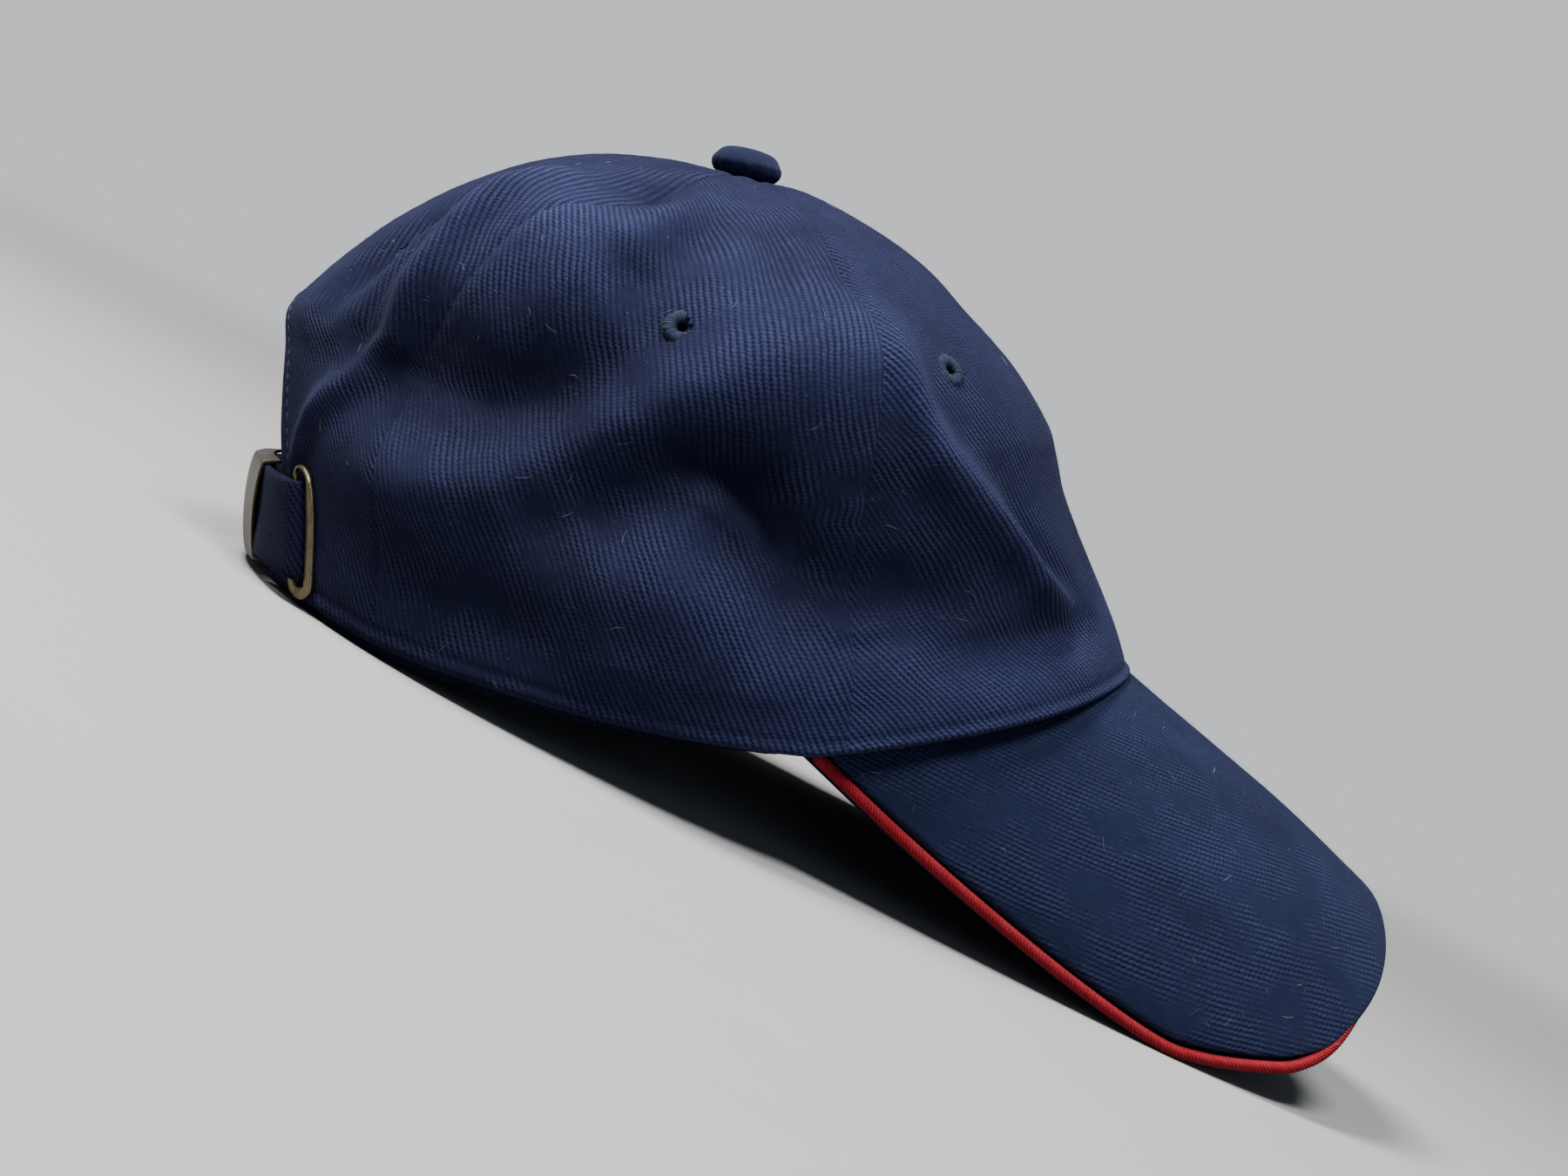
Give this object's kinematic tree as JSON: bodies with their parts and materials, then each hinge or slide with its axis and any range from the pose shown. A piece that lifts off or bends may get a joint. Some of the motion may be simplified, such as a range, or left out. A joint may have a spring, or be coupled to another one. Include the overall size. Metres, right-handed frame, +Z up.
{
  "type": "six-panel cap",
  "caption": "Soft cotton cap with a round panelled crown, sewn eyelets, a curved piped peak and a buckled strap across an arched opening behind, lying on a surface.",
  "frame": {"origin": "middle of the bounding box, on the surface that the cap lies on", "axes": "-Y towards the tip of the peak, +Z up, +X towards the wearer's left; the cap lies on the back of its rim and the sides of its peak"},
  "size_m": [0.1652, 0.2926, 0.1379],
  "materials": {
    "crown_cloth": "brushed cotton twill, matt",
    "eyelet_thread": "close buttonhole stitch",
    "peak_cloth": "cotton twill over a board, matt",
    "under_cloth": "cotton twill, matt",
    "piping_cloth": "ribbed cotton binding",
    "band_cloth": "plain weave cotton, matt",
    "strap_cloth": "folded cotton twill, matt",
    "buckle_metal": "satin, with a warm edge",
    "ring_metal": "dull, worn"
  },
  "bodies": {
    "root": {"front_panel_left": "crown_cloth", "front_panel_right": "crown_cloth", "side_panel_left": "crown_cloth", "side_panel_right": "crown_cloth", "back_panel_left": "crown_cloth", "back_panel_right": "crown_cloth", "top_button": "crown_cloth", "eyelet_front_left": "eyelet_thread", "eyelet_front_right": "eyelet_thread", "eyelet_side_left": "eyelet_thread", "eyelet_side_right": "eyelet_thread", "eyelet_back_left": "eyelet_thread", "eyelet_back_right": "eyelet_thread", "peak_top": "peak_cloth", "peak_under": "under_cloth", "peak_piping": "piping_cloth", "sweatband": "band_cloth", "back_strap": "strap_cloth", "buckle_tab": "strap_cloth", "buckle": "buckle_metal", "buckle_pin": "buckle_metal", "slot_ring": "ring_metal"}
  },
  "joints": []
}
